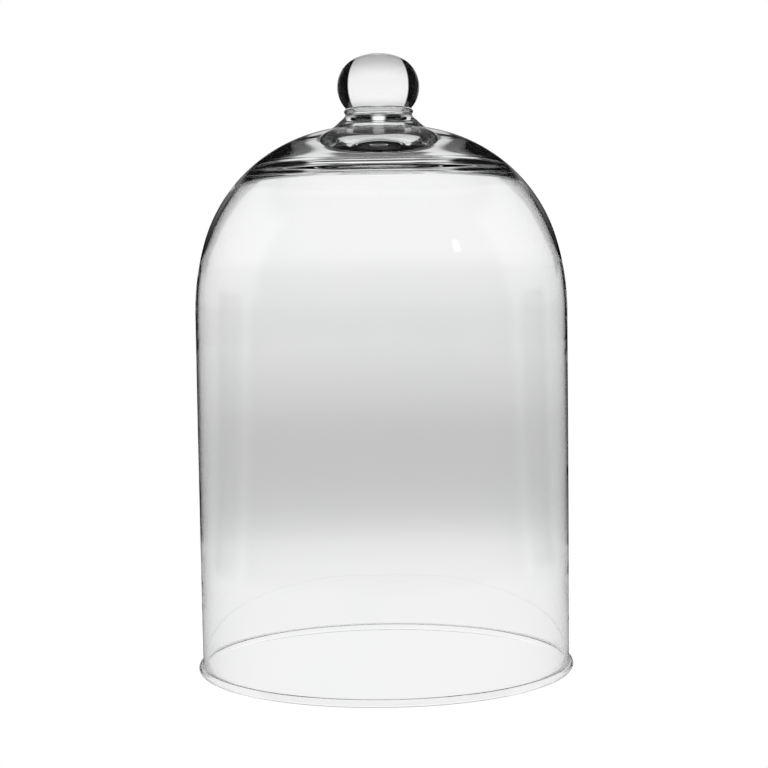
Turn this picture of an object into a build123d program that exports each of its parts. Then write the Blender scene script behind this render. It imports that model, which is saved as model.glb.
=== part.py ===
"""Hand-blown bell jar dome: a thin glass bell, a fused collar and a solid ball knob.

The dome is a body of revolution about Z, standing on its open rim. The frame's origin is
the centre of the rim, on the surface that the dome stands on, and +Z points up to the knob.
Every outline below is half of a section: its first coordinate is the radius, and its
second is the height. All lengths are in millimetres and all angles are in degrees.

The three pieces of glass are made separately and joined hot, one on top of the other:
  bell    the blown bubble, cut open at its foot, with a melted bead round the rim
  collar  a waisted wafer of glass, laid on the flat seat in the crown
  knob    a solid ball, slightly flattened, laid on the collar

The seat is dished in its middle, so the collar closes a thin lens of air over the crown.
"""

from build123d import *
from math import acos, asin, atan, cos, degrees, radians, sin
import os

# Bell, outside
RIM_RADIUS = 99.9  # outside of the wall just above the bead
SHOULDER_ARC = 137.0  # radius of the upright part of the shoulder
CROWN_ARC = 85.6  # radius of the shoulder above it, up to the crown
CROWN_CENTRE_RADIUS = 13.1  # the crown arc's centre lies on a ring of this radius
CROWN_CENTRE_HEIGHT = 207.9
SHOULDER_LEAN = 74.0  # slope from the horizontal where the two arcs meet

# Bell, inside
WALL = 1.2  # thickness of the upright wall
THICKENING_LEAN = 80.0  # slope from which the wall thickens towards the crown
HOLLOW_ARC = 92.0  # radius of the inside of the shoulder above there
HOLLOW_LEAN = 49.0  # slope where the hollow turns in to its ceiling
CORNER_ARC = 16.0  # radius of that turn
CEILING_LEAN = 15.0  # slope where the nearly flat ceiling starts

# Bead melted round the rim, with a narrow ground land to stand on
BEAD = 2.0  # radius of the bead's round section
BEAD_HEIGHT = 1.9  # height of the bead's centre
BEAD_CENTRE_RADIUS = 100.2
BEAD_BLEND = 1.2  # fillet between the bead and the wall

# Collar
SEAT_RADIUS = 27.0  # flat seat in the crown, and the foot of the collar
POCKET_RADIUS = 19.0  # dish in the middle of the seat, which the collar closes
POCKET_DEPTH = 0.5
COLLAR_TOP = 303.4
COLLAR_RING_RADIUS = 18.7  # small swelling right under the knob
COLLAR_RING_HEIGHT = 302.0
WAIST_RADIUS = 18.1
WAIST_HEIGHT = 300.4
FLARE_RADIUS = 21.0
FLARE_HEIGHT = 296.7

# Knob
KNOB_RADIUS = 22.2
KNOB_HALF_HEIGHT = 18.0
KNOB_CENTRE_HEIGHT = 315.2
KNOB_SIDE_ARC = 16.9  # radius of the outline round the widest part


def on_arc(centre, radius, slope):
    """The point of a convex arc where its outline slopes by that much from the horizontal."""
    return (centre[0] + radius * sin(radians(slope)), centre[1] + radius * cos(radians(slope)))


# Centres of the outside arcs, so that each one meets the next without a corner
CROWN_CENTRE = (CROWN_CENTRE_RADIUS, CROWN_CENTRE_HEIGHT)
SHOULDER_CENTRE = on_arc(CROWN_CENTRE, CROWN_ARC - SHOULDER_ARC, SHOULDER_LEAN)
SEAT_LEAN = degrees(asin((SEAT_RADIUS - CROWN_CENTRE_RADIUS) / CROWN_ARC))
SEAT_HEIGHT = on_arc(CROWN_CENTRE, CROWN_ARC, SEAT_LEAN)[1]
SHOULDER_FOOT = on_arc(SHOULDER_CENTRE, SHOULDER_ARC, 90)

# Centres of the inside arcs: the wall keeps its thickness round the foot of the shoulder,
# thickens steadily above it, and turns in over the hollow to leave the crown solid
HOLLOW_FOOT = (SHOULDER_FOOT[0] - WALL, SHOULDER_FOOT[1])
THICKENING = on_arc(SHOULDER_CENTRE, SHOULDER_ARC - WALL, THICKENING_LEAN)
HOLLOW_CENTRE = on_arc(THICKENING, -HOLLOW_ARC, THICKENING_LEAN)
CORNER_START = on_arc(HOLLOW_CENTRE, HOLLOW_ARC, HOLLOW_LEAN)
CORNER_CENTRE = on_arc(CORNER_START, -CORNER_ARC, HOLLOW_LEAN)
CEILING_EDGE = on_arc(CORNER_CENTRE, CORNER_ARC, CEILING_LEAN)
CEILING_ARC = CEILING_EDGE[0] / sin(radians(CEILING_LEAN))
CEILING_CENTRE = (0, CEILING_EDGE[1] - CEILING_ARC * cos(radians(CEILING_LEAN)))
CEILING_HEIGHT = CEILING_CENTRE[1] + CEILING_ARC

# The dish in the seat, an arc through its deepest point on the axis
POCKET_ARC = (POCKET_RADIUS**2 + POCKET_DEPTH**2) / (2 * POCKET_DEPTH)
POCKET_CENTRE = (0, SEAT_HEIGHT - POCKET_DEPTH + POCKET_ARC)
POCKET_EDGE_ANGLE = degrees(asin(POCKET_RADIUS / POCKET_ARC))

# The knob's outline: a wide arc over the top and a rounder one down the side
KNOB_SIDE_CENTRE = (KNOB_RADIUS - KNOB_SIDE_ARC, KNOB_CENTRE_HEIGHT)
KNOB_TOP_ARC = (KNOB_SIDE_CENTRE[0] ** 2 + KNOB_HALF_HEIGHT**2 - KNOB_SIDE_ARC**2) / (
    2 * (KNOB_HALF_HEIGHT - KNOB_SIDE_ARC)
)
KNOB_TOP = KNOB_CENTRE_HEIGHT + KNOB_HALF_HEIGHT
KNOB_TOP_CENTRE = (0, KNOB_TOP - KNOB_TOP_ARC)
KNOB_LEAN = degrees(atan(KNOB_SIDE_CENTRE[0] / (KNOB_TOP_ARC - KNOB_HALF_HEIGHT)))
KNOB_FOOT_LEAN = degrees(acos((COLLAR_TOP - KNOB_CENTRE_HEIGHT) / KNOB_SIDE_ARC))
KNOB_FOOT = on_arc(KNOB_SIDE_CENTRE, KNOB_SIDE_ARC, KNOB_FOOT_LEAN)


def slope_arc(centre, radius, start, end):
    """An arc of an outline, from one slope to another."""
    return CenterArc(centre, radius, 90 - start, start - end)


# The bell: its wall is drawn down to the bead's centre, where the bead swallows its end
with BuildPart() as bell:
    with BuildSketch(Plane.XZ) as bell_section:
        with BuildLine() as bell_outline:
            CenterArc(POCKET_CENTRE, POCKET_ARC, -90, POCKET_EDGE_ANGLE)
            Line((POCKET_RADIUS, SEAT_HEIGHT), (SEAT_RADIUS, SEAT_HEIGHT))
            slope_arc(CROWN_CENTRE, CROWN_ARC, SEAT_LEAN, SHOULDER_LEAN)
            slope_arc(SHOULDER_CENTRE, SHOULDER_ARC, SHOULDER_LEAN, 90)
            TangentArc(SHOULDER_FOOT, (RIM_RADIUS, BEAD_HEIGHT), tangent=(0, -1))
            Line((RIM_RADIUS, BEAD_HEIGHT), (RIM_RADIUS - WALL, BEAD_HEIGHT))
            TangentArc(HOLLOW_FOOT, (RIM_RADIUS - WALL, BEAD_HEIGHT), tangent=(0, -1))
            slope_arc(SHOULDER_CENTRE, SHOULDER_ARC - WALL, THICKENING_LEAN, 90)
            slope_arc(HOLLOW_CENTRE, HOLLOW_ARC, HOLLOW_LEAN, THICKENING_LEAN)
            slope_arc(CORNER_CENTRE, CORNER_ARC, CEILING_LEAN, HOLLOW_LEAN)
            slope_arc(CEILING_CENTRE, CEILING_ARC, 0, CEILING_LEAN)
            Line((0, CEILING_HEIGHT), (0, SEAT_HEIGHT - POCKET_DEPTH))
        make_face()
        with Locations((BEAD_CENTRE_RADIUS, BEAD_HEIGHT)):
            Circle(BEAD)
        bead_corners = bell_section.vertices().filter_by_position(
            Axis.Z, BEAD_HEIGHT + 0.1, BEAD_HEIGHT + 2 * BEAD
        )
        fillet(bead_corners, BEAD_BLEND)
        with Locations((BEAD_CENTRE_RADIUS, -BEAD)):
            Rectangle(4 * BEAD, 2 * BEAD, mode=Mode.SUBTRACT)
    revolve(axis=Axis.Z)
bell.part.label = "bell"

# The collar: a spread foot on the seat, a waist, and a small ring under the knob
with BuildPart() as collar:
    with BuildSketch(Plane.XZ):
        with BuildLine():
            Line((0, SEAT_HEIGHT), (SEAT_RADIUS, SEAT_HEIGHT))
            Spline(
                (SEAT_RADIUS, SEAT_HEIGHT),
                (FLARE_RADIUS, FLARE_HEIGHT),
                (WAIST_RADIUS, WAIST_HEIGHT),
                tangents=[(-1, 0.25), (0, 1)],
            )
            Spline(
                (WAIST_RADIUS, WAIST_HEIGHT),
                (COLLAR_RING_RADIUS, COLLAR_RING_HEIGHT),
                KNOB_FOOT,
                tangents=[(0, 1), (-1, 0.3)],
            )
            Line(KNOB_FOOT, (0, COLLAR_TOP))
            Line((0, COLLAR_TOP), (0, SEAT_HEIGHT))
        make_face()
    revolve(axis=Axis.Z)
collar.part.label = "collar"

# The knob: a flattened ball, cut flat where it lies on the collar
with BuildPart() as knob:
    with BuildSketch(Plane.XZ):
        with BuildLine():
            slope_arc(KNOB_TOP_CENTRE, KNOB_TOP_ARC, 0, KNOB_LEAN)
            slope_arc(KNOB_SIDE_CENTRE, KNOB_SIDE_ARC, KNOB_LEAN, KNOB_FOOT_LEAN)
            Line(KNOB_FOOT, (0, COLLAR_TOP))
            Line((0, COLLAR_TOP), (0, KNOB_TOP))
        make_face()
    revolve(axis=Axis.Z)
knob.part.label = "knob"

os.makedirs("parts", exist_ok=True)
for piece in (bell, collar, knob):
    export_step(piece.part, f"parts/{piece.part.label}.step")
    print(piece.part.label, "volume", round(piece.part.volume / 1000, 1), "cm3")
print("thickness of the crown", round(SEAT_HEIGHT - POCKET_DEPTH - CEILING_HEIGHT, 2))
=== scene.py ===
from collections import namedtuple
from math import acos, asin, atan, cos, degrees, pi, radians, sin, sqrt

import bmesh
import bpy
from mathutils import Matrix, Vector, noise


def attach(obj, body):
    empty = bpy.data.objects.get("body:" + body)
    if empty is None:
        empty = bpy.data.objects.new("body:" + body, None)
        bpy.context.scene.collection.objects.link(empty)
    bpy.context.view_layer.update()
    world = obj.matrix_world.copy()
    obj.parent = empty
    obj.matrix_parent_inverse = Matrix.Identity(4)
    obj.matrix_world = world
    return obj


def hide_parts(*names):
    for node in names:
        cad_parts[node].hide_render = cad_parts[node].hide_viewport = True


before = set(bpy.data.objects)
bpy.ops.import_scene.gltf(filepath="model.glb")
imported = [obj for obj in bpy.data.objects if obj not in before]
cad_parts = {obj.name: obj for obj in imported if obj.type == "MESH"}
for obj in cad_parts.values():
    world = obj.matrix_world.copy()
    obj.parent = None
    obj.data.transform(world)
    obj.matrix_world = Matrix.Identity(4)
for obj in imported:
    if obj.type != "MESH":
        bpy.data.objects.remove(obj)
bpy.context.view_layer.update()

MM = 0.001

# ---------------------------------------------------------------- the glass, in millimetres
RIM_RADIUS = 99.9
SHOULDER_ARC = 137.0
CROWN_ARC = 85.6
CROWN_CENTRE = (13.1, 207.9)
SHOULDER_LEAN = 74.0
WALL = 1.2
THICKENING_LEAN = 80.0
HOLLOW_ARC = 92.0
HOLLOW_LEAN = 49.0
CORNER_ARC = 16.0
CEILING_LEAN = 15.0
BEAD = 2.0
BEAD_HEIGHT = 1.9
BEAD_CENTRE_RADIUS = 100.2
BEAD_BLEND = 1.2
SEAT_RADIUS = 27.0
COLLAR_TOP = 303.4
POCKET_RADIUS = 19.0
POCKET_DEPTH = 0.5
COLLAR_RING = (18.7, 302.0)
COLLAR_WAIST = (18.1, 300.4)
COLLAR_FLARE = (21.0, 296.7)
KNOB_RADIUS = 22.2
KNOB_HALF_HEIGHT = 18.0
KNOB_CENTRE_HEIGHT = 315.2
KNOB_SIDE_ARC = 16.9

SPIN = 288  # steps round the axis
ARC_STEP = 1.5  # degrees between points on an arc
BEAD_STEP = 7.5
WALL_STEPS = 28  # rings down the wall, on each side
DISH_STEPS = 10
FLAT_STEPS = 6  # rings across a flat end
WAVE = 0.12  # how far the hand-made surface wanders
WAVE_LENGTH = 30.0
WAVE_UPRIGHT = 0.6  # the waves are drawn out along the axis by the inverse of this
WAVE_SINK = 0.4  # how much of the wandering also lowers the surface
TINY = 1e-6


def on_arc(centre, radius, slope):
    """The point of a convex arc where its outline slopes by that much from the horizontal."""
    return (centre[0] + radius * sin(radians(slope)), centre[1] + radius * cos(radians(slope)))


def arc(centre, radius, start, end, step=ARC_STEP):
    """Points of an arc from one slope to another."""
    steps = max(2, round(abs(end - start) / step))
    return [on_arc(centre, radius, start + (end - start) * i / steps) for i in range(steps + 1)]


def wall_arc(top, bottom, steps):
    """Points of the arc that leaves the first point straight down and ends in the second."""
    drop, lean = top[1] - bottom[1], top[0] - bottom[0]
    radius = (drop * drop + lean * lean) / (2 * lean)
    heights = [top[1] - drop * i / steps for i in range(steps + 1)]
    return [(top[0] - radius + sqrt(radius * radius - (z - top[1]) ** 2), z) for z in heights]


shoulder_centre = on_arc(CROWN_CENTRE, CROWN_ARC - SHOULDER_ARC, SHOULDER_LEAN)
seat_lean = degrees(asin((SEAT_RADIUS - CROWN_CENTRE[0]) / CROWN_ARC))
seat_height = on_arc(CROWN_CENTRE, CROWN_ARC, seat_lean)[1]
shoulder_foot = on_arc(shoulder_centre, SHOULDER_ARC, 90)
hollow_foot = (shoulder_foot[0] - WALL, shoulder_foot[1])
thickening = on_arc(shoulder_centre, SHOULDER_ARC - WALL, THICKENING_LEAN)
hollow_arc_centre = on_arc(thickening, -HOLLOW_ARC, THICKENING_LEAN)
hollow_lean = on_arc(hollow_arc_centre, HOLLOW_ARC, HOLLOW_LEAN)
corner_centre = on_arc(hollow_lean, -CORNER_ARC, HOLLOW_LEAN)
ceiling_edge = on_arc(corner_centre, CORNER_ARC, CEILING_LEAN)
ceiling_arc = ceiling_edge[0] / sin(radians(CEILING_LEAN))
ceiling_centre = (0, ceiling_edge[1] - ceiling_arc * cos(radians(CEILING_LEAN)))


def pocket_dish():
    """The shallow dish in the seat, from the axis out to the rim of the seat."""
    arc_radius = (POCKET_RADIUS**2 + POCKET_DEPTH**2) / (2 * POCKET_DEPTH)
    centre_height = seat_height - POCKET_DEPTH + arc_radius
    radii = [POCKET_RADIUS * i / DISH_STEPS for i in range(DISH_STEPS + 1)]
    return [(r, centre_height - sqrt(arc_radius**2 - r * r)) for r in radii]


def bead_outline(wall_radius, side):
    """One side of the rim, from the wall down to the flat land: a small fillet and then the bead."""
    reach = side * (wall_radius - BEAD_CENTRE_RADIUS) + BEAD_BLEND
    touch = degrees(asin(reach / (BEAD + BEAD_BLEND)))
    land = degrees(acos(-BEAD_HEIGHT / BEAD))
    rise = (BEAD + BEAD_BLEND) * cos(radians(touch))
    fillet = [(reach - BEAD_BLEND * cos(radians(a)), rise - BEAD_BLEND * sin(radians(a)))
              for a in (0, 0.25 * (90 - touch), 0.5 * (90 - touch), 0.75 * (90 - touch))]
    rim = fillet + arc((0, 0), BEAD, touch, land, BEAD_STEP)
    return [(BEAD_CENTRE_RADIUS + side * r, BEAD_HEIGHT + z) for r, z in rim]


outer = bead_outline(RIM_RADIUS, 1)
inner = bead_outline(RIM_RADIUS - WALL, -1)[::-1]
bell_outline = (
    pocket_dish()
    + arc(CROWN_CENTRE, CROWN_ARC, seat_lean, SHOULDER_LEAN)
    + arc(shoulder_centre, SHOULDER_ARC, SHOULDER_LEAN, 90)[1:]
    + wall_arc(shoulder_foot, outer[0], WALL_STEPS)[1:]
    + outer[1:]
    + inner
    + wall_arc(hollow_foot, inner[-1], WALL_STEPS)[::-1][1:]
    + arc(shoulder_centre, SHOULDER_ARC - WALL, 90, THICKENING_LEAN)[1:]
    + arc(hollow_arc_centre, HOLLOW_ARC, THICKENING_LEAN, HOLLOW_LEAN)[1:]
    + arc(corner_centre, CORNER_ARC, HOLLOW_LEAN, CEILING_LEAN)[1:]
    + arc(ceiling_centre, ceiling_arc, CEILING_LEAN, 0)[1:]
)


def spline(points, start, end, steps):
    """Cubic Hermite pieces through the points, with given end directions."""
    p = [Vector(q) for q in points]
    t = [None] * len(p)
    for i in range(1, len(p) - 1):
        t[i] = (p[i + 1] - p[i - 1]) / 2
    t[0] = Vector(start).normalized() * (p[1] - p[0]).length
    t[-1] = Vector(end).normalized() * (p[-1] - p[-2]).length
    out = []
    for i in range(len(p) - 1):
        for k in range(steps):
            s = k / steps
            h = (2 * s**3 - 3 * s**2 + 1, s**3 - 2 * s**2 + s, 3 * s**2 - 2 * s**3, s**3 - s**2)
            q = p[i] * h[0] + t[i] * h[1] + p[i + 1] * h[2] + t[i + 1] * h[3]
            out.append((q.x, q.y))
    return out + [tuple(p[-1])]


side_centre = (KNOB_RADIUS - KNOB_SIDE_ARC, KNOB_CENTRE_HEIGHT)
top_arc = side_centre[0] ** 2 + KNOB_HALF_HEIGHT**2 - KNOB_SIDE_ARC**2
top_arc /= 2 * (KNOB_HALF_HEIGHT - KNOB_SIDE_ARC)
knob_top = KNOB_CENTRE_HEIGHT + KNOB_HALF_HEIGHT
top_centre = (0, knob_top - top_arc)
knob_lean = degrees(atan(side_centre[0] / (top_arc - KNOB_HALF_HEIGHT)))
foot_lean = degrees(acos((COLLAR_TOP - KNOB_CENTRE_HEIGHT) / KNOB_SIDE_ARC))
knob_foot = on_arc(side_centre, KNOB_SIDE_ARC, foot_lean)

collar_outline = (
    [(knob_foot[0] * i / FLAT_STEPS, COLLAR_TOP) for i in range(FLAT_STEPS)]
    + spline([knob_foot, COLLAR_RING, COLLAR_WAIST], (1, -0.3), (0, -1), 8)
    + spline([COLLAR_WAIST, COLLAR_FLARE, (SEAT_RADIUS, seat_height)], (0, -1), (1, -0.25), 12)[1:]
    + [(POCKET_RADIUS * i / FLAT_STEPS, seat_height) for i in range(FLAT_STEPS, -1, -1)]
)
knob_outline = (
    arc(top_centre, top_arc, 0, knob_lean)
    + arc(side_centre, KNOB_SIDE_ARC, knob_lean, foot_lean)[1:]
    + [(knob_foot[0] * i / FLAT_STEPS, COLLAR_TOP) for i in range(FLAT_STEPS - 1, -1, -1)]
)


def smooth(value, low, high):
    """0 below low, 1 above high, smooth between."""
    t = min(1.0, max(0.0, (value - low) / (high - low)))
    return t * t * (3 - 2 * t)


def bell_reach(r, z):
    """How far the glass of the bell may wander: not at the rim, and not at the seat."""
    return smooth(z, 8, 40) * smooth(r, SEAT_RADIUS + 2, SEAT_RADIUS + 22)


def knob_reach(r, z):
    """The knob wanders above its join with the collar."""
    return smooth(z, COLLAR_TOP + 3, COLLAR_TOP + 12)


def collar_reach(r, z):
    """The collar is too small to wander."""
    return 0.0


def wander(r, z, turn, freedom, seed):
    """The slight waviness of blown glass: every point moves inwards a little."""
    reach = WAVE * freedom(r, z)
    if reach == 0:
        return r, z
    spot = Vector((r * cos(turn), r * sin(turn), WAVE_UPRIGHT * z)) / WAVE_LENGTH + seed
    pull = reach * (0.5 + 0.5 * noise.noise(spot))
    return r - pull * min(1.0, r / WAVE_LENGTH), z - WAVE_SINK * pull


def lathe(name, outline, seams, freedom):
    """Spins an outline about Z into a closed mesh. Faces on a seam get the second material."""
    seed = Vector((len(name), 3.1, 7.7))
    bm = bmesh.new()
    rings = []
    for r, z in outline:
        if r < TINY:
            rings.append([bm.verts.new((0, 0, z * MM))])
        else:
            ring = []
            for k in range(SPIN):
                turn = 2 * pi * k / SPIN
                radius, height = wander(r, z, turn, freedom, seed)
                ring.append(bm.verts.new((radius * MM * cos(turn), radius * MM * sin(turn), height * MM)))
            rings.append(ring)
    for a, b, (ra, za), (rb, zb) in zip(rings, rings[1:], outline, outline[1:]):
        seam = any(
            max(abs(za - height), abs(zb - height)) < TINY and min(ra, rb) > inner_edge - TINY
            for height, inner_edge in seams
        )
        for k in range(SPIN):
            n = (k + 1) % SPIN
            if len(a) == 1 and len(b) == 1:
                continue
            if len(a) == 1:
                vs = (a[0], b[k], b[n])
            elif len(b) == 1:
                vs = (a[k], b[0], a[n])
            else:
                vs = (a[k], b[k], b[n], a[n])
            f = bm.faces.new(vs)
            f.smooth = not seam
            f.material_index = 1 if seam else 0
    bmesh.ops.recalc_face_normals(bm, faces=bm.faces)
    mesh = bpy.data.meshes.new(name)
    bm.to_mesh(mesh)
    bm.free()
    ob = bpy.data.objects.new(name, mesh)
    bpy.context.scene.collection.objects.link(ob)
    return ob


def glass(name, tint, ripple):
    """Clear glass with a trace of cloudy tint and faint ripples in its surface."""
    mat = bpy.data.materials.new(name)
    mat.use_nodes = True
    nt = mat.node_tree
    p = nt.nodes["Principled BSDF"]
    place = nt.nodes.new("ShaderNodeTexCoord")
    cloud = nt.nodes.new("ShaderNodeTexNoise")
    cloud.inputs["Scale"].default_value = CLOUD_SCALE
    nt.links.new(place.outputs["Object"], cloud.inputs["Vector"])
    ramp = nt.nodes.new("ShaderNodeValToRGB")
    ramp.color_ramp.elements[0].position = 0.35
    ramp.color_ramp.elements[0].color = tint
    ramp.color_ramp.elements[1].position = 0.65
    ramp.color_ramp.elements[1].color = (1, 1, 1, 1)
    nt.links.new(cloud.outputs["Fac"], ramp.inputs["Fac"])
    nt.links.new(ramp.outputs["Color"], p.inputs["Base Color"])
    stretch = nt.nodes.new("ShaderNodeMapping")
    stretch.inputs["Scale"].default_value = RIPPLE_STRETCH
    nt.links.new(place.outputs["Object"], stretch.inputs["Vector"])
    wave = nt.nodes.new("ShaderNodeTexNoise")
    wave.inputs["Scale"].default_value = RIPPLE_SCALE
    wave.inputs["Detail"].default_value = 1.0
    nt.links.new(stretch.outputs["Vector"], wave.inputs["Vector"])
    bump = nt.nodes.new("ShaderNodeBump")
    bump.inputs["Strength"].default_value = 1.0
    bump.inputs["Distance"].default_value = ripple
    nt.links.new(wave.outputs["Fac"], bump.inputs["Height"])
    nt.links.new(bump.outputs["Normal"], p.inputs["Normal"])
    p.inputs["Roughness"].default_value = 0.0
    p.inputs["IOR"].default_value = 1.5
    p.inputs["Transmission Weight"].default_value = 1.0
    return mat


def seam():
    """Nothing to see: the glass runs on without a surface where two pieces are fused."""
    mat = bpy.data.materials.new("fused_seam")
    mat.use_nodes = True
    nt = mat.node_tree
    nt.nodes.clear()
    out = nt.nodes.new("ShaderNodeOutputMaterial")
    tr = nt.nodes.new("ShaderNodeBsdfTransparent")
    nt.links.new(tr.outputs[0], out.inputs["Surface"])
    return mat


CLOUD_SCALE = 14.0
RIPPLE_SCALE = 26.0
RIPPLE_STRETCH = (1, 1, 2.5)
LOOK = {
    # the tint of the cloudy patches, and the height of the ripples in metres
    "bell": ((0.985, 0.995, 0.99, 1), 0.00006),
    "collar": ((0.97, 0.985, 0.98, 1), 0.00005),
    "knob": ((0.975, 0.985, 0.98, 1), 0.00004),
}
seam_mat = seam()
# A seam is a height and an inner radius: the flat faces there, from that radius outwards
pieces = {
    "bell": lathe("bell_glass", bell_outline, [(seat_height, POCKET_RADIUS)], bell_reach),
    "collar": lathe("collar_glass", collar_outline, [(seat_height, POCKET_RADIUS), (COLLAR_TOP, 0)],
                    collar_reach),
    "knob": lathe("knob_glass", knob_outline, [(COLLAR_TOP, 0)], knob_reach),
}
for node, ob in pieces.items():
    ob.data.materials.append(glass(node + "_glass", *LOOK[node]))
    ob.data.materials.append(seam_mat)
    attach(ob, "root")
    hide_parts(node)

# ---------------------------------------------------------------- camera
SENSOR = 36
FOCAL_LENGTH = 83.25
EYE = (0.88 * MM, -0.9668, 0.2068)
LOOK_DOWN = 3.1
ROLL = -0.8

scene = bpy.context.scene
cam_data = bpy.data.cameras.new("camera")
cam_data.sensor_width = SENSOR
cam_data.lens = FOCAL_LENGTH
cam = bpy.data.objects.new("camera", cam_data)
scene.collection.objects.link(cam)
cam.location = EYE
cam.rotation_mode = "XYZ"
cam.rotation_euler = (radians(90 - LOOK_DOWN), 0, 0)
cam.rotation_euler.rotate_axis("Z", radians(ROLL))
scene.camera = cam

# ---------------------------------------------------------------- studio
# The world and a glowing floor are the only light. Each answers a ray by its kind, that is, by how
# often the glass has reflected and refracted it. The camera sees plain white beside the glass, rays
# that cross the dome see a grey gradient, and rays that the glass turns back see dark areas. No real
# studio can do this. Azimuths are measured in degrees from +Y, and reach is in metres from the axis.
BACKDROP = [  # elevation and tone
    (-30, 0.95), (-12, 0.93), (-3, 0.78), (-1.7, 0.785), (-0.3, 0.84), (2.9, 0.97), (8, 1.0), (36, 1.0),
    (42, 0.75), (50, 0.3), (58, 0.02), (66, 0.0),
]
FLOOR = [  # reach and tone
    (0, 0.97), (0.07, 0.94), (0.13, 0.925), (0.2, 0.92), (0.28, 0.92), (0.43, 0.865), (0.61, 0.70),
    (0.85, 0.60), (1.16, 0.575), (1.69, 0.585), (2.3, 0.65), (4.05, 0.745), (6.0, 0.785),
]
SOLID_BACKDROP = [  # the same two for rays that have gone straight through the knob, collar or one wall
    (-12, 0.95), (0, 0.97), (14, 0.98), (20, 0.88), (26, 0.72), (32, 0.58), (38, 0.45), (66, 0.3),
]
SOLID_FLOOR = [
    (0, 0.42), (0.3, 0.46), (0.6, 0.56), (1.2, 0.80), (2.0, 0.92), (3.0, 0.95), (6.0, 0.97),
]
UNDER_DOME = (0.108, 0.13)  # the floor is light inside this reach, where it is seen through one wall
UNDER_DOME_TONE = 0.94
INNER_FLOOR_TONE = 0.93
FLOOR_RADIUS = 6.0
FLOOR_NEAR = 0.42  # the dark areas on the floor start here
FLOOR_NEAR_SOFT = 0.05
FLAG_TONE = 0.004  # the dark areas
FLAG_AZIMUTH = 35.0  # dark from here to a gap before the side
SIDE_GAP = 12.0
FLAG_SOFT = 1.5
FRONT = (92, 104)  # dark from here round to behind the camera
HIGH_BAND = 5.0  # elevation that parts the lower dark strips from the upper ones
BAND_SOFT = 1
STRIP = (4.0, 28.0)
STRIP_SOFT = 6.0
FAN_SLOPE = 0.65  # the upper dark area is a fan that opens away from azimuth 0
FAN_FOOT = 4.5
FAN_SOFT = 1.5
FAN_SIDE = (20, 34)  # dark at any height beyond
FAN_MIDDLE = (3, 9)  # light at any height within
EDGE_STRIP = (6.0, 38.0)
EDGE_SOFT = 2
OVERHEAD = 45.0  # dark above this elevation
OVERHEAD_SOFT = 4
OUTER_TONE = 0.06
OUTER_TONE_HIGH = 0.35
OUTER_RISE = (6, 14)  # elevations between which the first of those becomes the second
DEEP_DARK = (0.19, 1.1)  # dark floor for rays that the crown turns back many times
DEEP_LINE = (0.40, 0.48)  # a light ring in it
RING_SOFT = 0.01
DEEP_MIDDLE = 24.0
DEEP_SOFT = 4
DEEP_SIDE = 45.0
DEEP_SIDE_REACH = (0.2, 0.26)
DEEP_FLANK = 29.0
DEEP_FLANK_SOFT = 3
DEEP_FLANK_REACH = (0.45, 0.55)
DEEP_TOP = 19.0
DEEP_TOP_SOFT = 2
DEEP_LOW = (5, 7)  # below this elevation, dark from the next azimuth on
DEEP_LOW_SIDE = (10, 16)
LENS_PATCH = (1.28, 9.0)  # dark grey floor far out at azimuth 0
LENS_SIDE = (16, 22)
LENS_SOFT = 0.04
LENS_TONE = 0.05
SOFTBOX_AZIMUTH = (126.5, 130.5)
SOFTBOX_ELEVATION = (24.5, 28.5)
SOFTBOX_SOFT = 1.5
SOFTBOX_LIGHT = 6.0
TO_DEGREES = 180 / pi


class Nodes:
    """Short hand for building node trees."""

    def __init__(self, tree):
        self.tree = tree
        tree.nodes.clear()

    def add(self, kind, **inputs):
        node = self.tree.nodes.new(kind)
        for name, value in inputs.items():
            self.put(node.inputs[name.replace("_", " ")], value)
        return node

    def put(self, socket, value):
        if isinstance(value, bpy.types.NodeSocket):
            self.tree.links.new(value, socket)
        else:
            socket.default_value = value

    def math(self, operation, *values):
        node = self.tree.nodes.new("ShaderNodeMath")
        node.operation = operation
        for socket, value in zip(node.inputs, values):
            self.put(socket, value)
        return node.outputs[0]

    def step(self, value, low, high):
        """0 below low, 1 above high, smooth between."""
        node = self.add("ShaderNodeMapRange", Value=value, From_Min=low, From_Max=high)
        node.interpolation_type = "SMOOTHSTEP"
        return node.outputs[0]

    def around(self, value, middle, soft):
        """A step from 0 to 1 at the middle, with a soft edge."""
        return self.step(value, middle - soft, middle + soft)

    def mix(self, t, a, b):
        node = self.tree.nodes.new("ShaderNodeMix")
        self.put(node.inputs["Factor"], t)
        self.put(node.inputs["A"], a)
        self.put(node.inputs["B"], b)
        return node.outputs["Result"]

    def curve(self, value, points):
        """A smooth curve through the points."""
        low, high = points[0][0], points[-1][0]
        place = self.math("DIVIDE", self.math("SUBTRACT", value, low), high - low)
        node = self.add("ShaderNodeFloatCurve", Value=place)
        line = node.mapping.curves[0]
        line.points[0].location = (0, points[0][1])
        line.points[-1].location = (1, points[-1][1])
        for x, y in points[1:-1]:
            line.points.new((x - low) / (high - low), y)
        node.mapping.update()
        return node.outputs[0]


Kinds = namedtuple("Kinds", "plain straight outer inner edge deep solid named")


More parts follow.
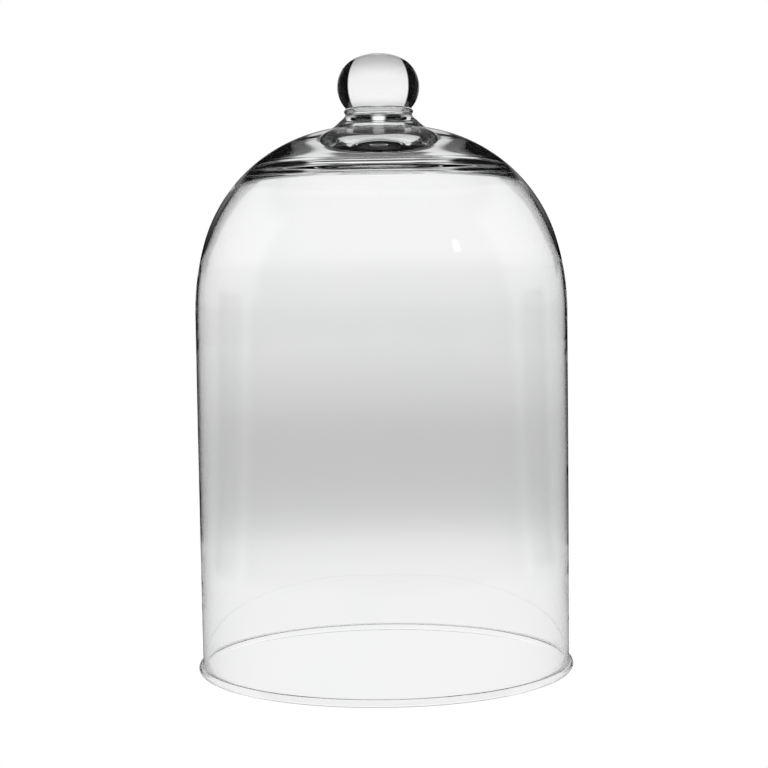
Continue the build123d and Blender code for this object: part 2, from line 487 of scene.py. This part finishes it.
def ray_kinds(n):
    """What the ray has been through, each 0 or 1.

    plain     the camera or a matt surface looks for light
    straight  it has crossed the dome and was turned nowhere
    outer     the outside turned it back
    inner     it was turned once or twice and has crossed the dome
    edge      it was turned once or twice inside one wall
    deep      it was turned three times or more
    solid     it has gone straight through the knob, the collar or one wall
    named     any of these; the few that are left find no light
    """
    path = n.tree.nodes.new("ShaderNodeLightPath")
    matt = n.math("GREATER_THAN", path.outputs["Diffuse Depth"], 0.5)
    plain = n.math("MAXIMUM", path.outputs["Is Camera Ray"], matt)
    turns, faces = path.outputs["Glossy Depth"], path.outputs["Transmission Depth"]
    turned = n.math("GREATER_THAN", turns, 0.5)
    once = n.math("LESS_THAN", turns, 2.5)
    far = n.math("GREATER_THAN", faces, 3.5)
    straight = n.math("MULTIPLY", far, n.math("SUBTRACT", 1, turned))
    outer = n.math("MULTIPLY", turned, n.math("LESS_THAN", faces, 0.5))
    inner = n.math("MULTIPLY", n.math("MULTIPLY", turned, once), far)
    edge = n.math("MULTIPLY", n.math("MULTIPLY", turned, once), n.math("COMPARE", faces, 2, 0.5))
    deep = n.math("GREATER_THAN", turns, 2.5)
    clear = n.math("MULTIPLY", n.math("SUBTRACT", 1, turned), n.math("SUBTRACT", 1, plain))
    solid = n.math("MULTIPLY", clear, n.math("SUBTRACT", 1, far))
    named = plain
    for kind in (straight, outer, inner, edge, deep, solid):
        named = n.math("MAXIMUM", named, kind)
    return Kinds(plain, straight, outer, inner, edge, deep, solid, named)


def within(n, value, low, high, soft):
    """1 between two values and 0 outside them, with soft ends."""
    past_high = n.around(value, high, soft)
    return n.math("MULTIPLY", n.around(value, low, soft), n.math("SUBTRACT", 1, past_high))


def darkness(n, kinds, azimuth, elevation, rise):
    """How far the dark areas hide the light in that direction. Rise is 1 well above the horizon and
    0 near it."""
    aside = n.math("ABSOLUTE", azimuth)
    from_axis = n.math("PINGPONG", azimuth, 90)
    from_quarter = n.math("PINGPONG", azimuth, 45)
    flags = within(n, from_axis, FLAG_AZIMUTH, 90 - SIDE_GAP, FLAG_SOFT)
    front = n.step(aside, *FRONT)
    strip = within(n, from_quarter, *STRIP, STRIP_SOFT)
    fan = n.math("SUBTRACT", elevation, n.math("MULTIPLY_ADD", aside, FAN_SLOPE, FAN_FOOT))
    above = n.math("MAXIMUM", n.step(fan, -FAN_SOFT, FAN_SOFT), n.step(aside, *FAN_SIDE))
    above = n.math("MULTIPLY", above, n.step(aside, *FAN_MIDDLE))
    outer_dark = n.math("MAXIMUM", n.mix(rise, strip, above), front)
    edge_dark = n.math("MAXIMUM", n.mix(rise, strip, within(n, aside, *EDGE_STRIP, EDGE_SOFT)), front)
    seen = n.mix(kinds.outer, flags, outer_dark)
    seen = n.mix(kinds.edge, seen, edge_dark)
    spared = n.math("MAXIMUM", n.math("MAXIMUM", kinds.straight, kinds.inner), kinds.deep)
    return n.math("MULTIPLY", seen, n.math("SUBTRACT", 1, spared))


def within_box(n, azimuth, elevation):
    """1 inside the small softbox high on the right, behind the camera."""
    across = within(n, azimuth, *SOFTBOX_AZIMUTH, SOFTBOX_SOFT)
    return n.math("MULTIPLY", across, within(n, elevation, *SOFTBOX_ELEVATION, SOFTBOX_SOFT))


world = bpy.data.worlds.new("studio")
scene.world = world
world.use_nodes = True
n = Nodes(world.node_tree)
kinds = ray_kinds(n)
sep = n.add("ShaderNodeSeparateXYZ", Vector=n.tree.nodes.new("ShaderNodeTexCoord").outputs["Generated"])
x, y, z = sep.outputs
elevation = n.math("MULTIPLY", n.math("ARCSINE", z), TO_DEGREES)
azimuth = n.math("MULTIPLY", n.math("ARCTAN2", x, y), TO_DEGREES)
back = n.mix(kinds.solid, n.curve(elevation, BACKDROP), n.curve(elevation, SOLID_BACKDROP))
dark = darkness(n, kinds, azimuth, elevation, n.around(elevation, HIGH_BAND, BAND_SOFT))
softbox = within_box(n, azimuth, elevation)
outer_tone = n.mix(n.step(elevation, *OUTER_RISE), OUTER_TONE, OUTER_TONE_HIGH)
back = n.math("MULTIPLY", back, n.mix(kinds.outer, 1.0, outer_tone))
unlit = n.math("SUBTRACT", 1, n.math("MAXIMUM", kinds.straight, kinds.solid))
overhead = n.math("MULTIPLY", n.around(elevation, OVERHEAD, OVERHEAD_SOFT), unlit)
dark = n.math("MAXIMUM", dark, overhead)
aside = n.math("ABSOLUTE", azimuth)
# dark for deep rays: high up, at the sides, and nearer azimuth 0 low down
deep_dark = n.math("MAXIMUM", n.around(elevation, DEEP_TOP, DEEP_TOP_SOFT),
                   n.around(aside, DEEP_FLANK, DEEP_FLANK_SOFT))
low = n.math("SUBTRACT", 1, n.step(elevation, *DEEP_LOW))
low_side = n.math("MULTIPLY", n.step(aside, *DEEP_LOW_SIDE), low)
deep_dark = n.math("MAXIMUM", deep_dark, low_side)
dark = n.math("MAXIMUM", dark, n.math("MULTIPLY", deep_dark, kinds.deep))
light = n.math("MULTIPLY", n.mix(dark, back, FLAG_TONE), kinds.named)
light = n.math("ADD", light, n.math("MULTIPLY", kinds.outer, n.math("MULTIPLY", softbox, SOFTBOX_LIGHT)))
light = n.mix(kinds.plain, light, 1.0)
bg = n.add("ShaderNodeBackground", Color=light)
out = n.add("ShaderNodeOutputWorld", Surface=bg.outputs[0])

bm = bmesh.new()
bmesh.ops.create_circle(bm, cap_ends=True, segments=96, radius=FLOOR_RADIUS)
mesh = bpy.data.meshes.new("floor")
bm.to_mesh(mesh)
bm.free()
floor = bpy.data.objects.new("floor", mesh)
scene.collection.objects.link(floor)
# The floor's colour is emitted, painted light: plain white to the camera, and a painted falloff of light
# with painted dark areas for rays that come through the glass.
fmat = bpy.data.materials.new("floor_glow")
fmat.use_nodes = True
n = Nodes(fmat.node_tree)
kinds = ray_kinds(n)
place = n.tree.nodes.new("ShaderNodeTexCoord").outputs["Object"]
reach = n.add("ShaderNodeVectorMath", Vector=place)
reach.operation = "LENGTH"
reach = reach.outputs["Value"]
sep = n.add("ShaderNodeSeparateXYZ", Vector=place)
azimuth = n.math("MULTIPLY", n.math("ARCTAN2", *sep.outputs[:2]), TO_DEGREES)
under = n.mix(n.step(reach, *UNDER_DOME), UNDER_DOME_TONE, n.curve(reach, SOLID_FLOOR))
fall = n.mix(kinds.solid, n.curve(reach, FLOOR), under)
fall = n.mix(kinds.inner, fall, INNER_FLOOR_TONE)
far_floor = n.around(reach, FLOOR_NEAR, FLOOR_NEAR_SOFT)
dark = n.math("MULTIPLY", darkness(n, kinds, azimuth, 0.0, 0.0), far_floor)
aside = n.math("ABSOLUTE", azimuth)
middle = n.math("SUBTRACT", 1, n.around(aside, DEEP_MIDDLE, DEEP_SOFT))
gap = n.math("SUBTRACT", 1, within(n, reach, *DEEP_LINE, RING_SOFT))
middle = n.math("MULTIPLY", middle, n.math("MULTIPLY", within(n, reach, *DEEP_DARK, RING_SOFT), gap))
side = n.around(aside, DEEP_SIDE, DEEP_SOFT)
side = n.math("MULTIPLY", side, n.step(reach, *DEEP_SIDE_REACH))
flank = n.around(aside, DEEP_FLANK, DEEP_FLANK_SOFT)
flank = n.math("MULTIPLY", flank, n.step(reach, *DEEP_FLANK_REACH))
side = n.math("MAXIMUM", side, flank)
ahead = n.math("SUBTRACT", 1, n.step(aside, *LENS_SIDE))
lens = n.math("MULTIPLY", within(n, reach, *LENS_PATCH, LENS_SOFT), ahead)
lens = n.math("MULTIPLY", lens, kinds.deep)
dark = n.math("MAXIMUM", dark, n.math("MULTIPLY", kinds.deep, n.math("MAXIMUM", middle, side)))
fall = n.math("MULTIPLY", fall, n.mix(kinds.outer, 1.0, OUTER_TONE))
light = n.mix(lens, n.mix(dark, fall, FLAG_TONE), LENS_TONE)
light = n.math("MULTIPLY", light, kinds.named)
light = n.mix(kinds.plain, light, 1.0)
glow = n.add("ShaderNodeEmission", Color=light)
n.add("ShaderNodeOutputMaterial", Surface=glow.outputs[0])
mesh.materials.append(fmat)

scene.view_settings.view_transform = "Standard"
BOUNCES = 32  # a ray crosses many surfaces in the crown
scene.cycles.max_bounces = BOUNCES
scene.cycles.glossy_bounces = BOUNCES
scene.cycles.transmission_bounces = BOUNCES
scene.cycles.transparent_max_bounces = BOUNCES
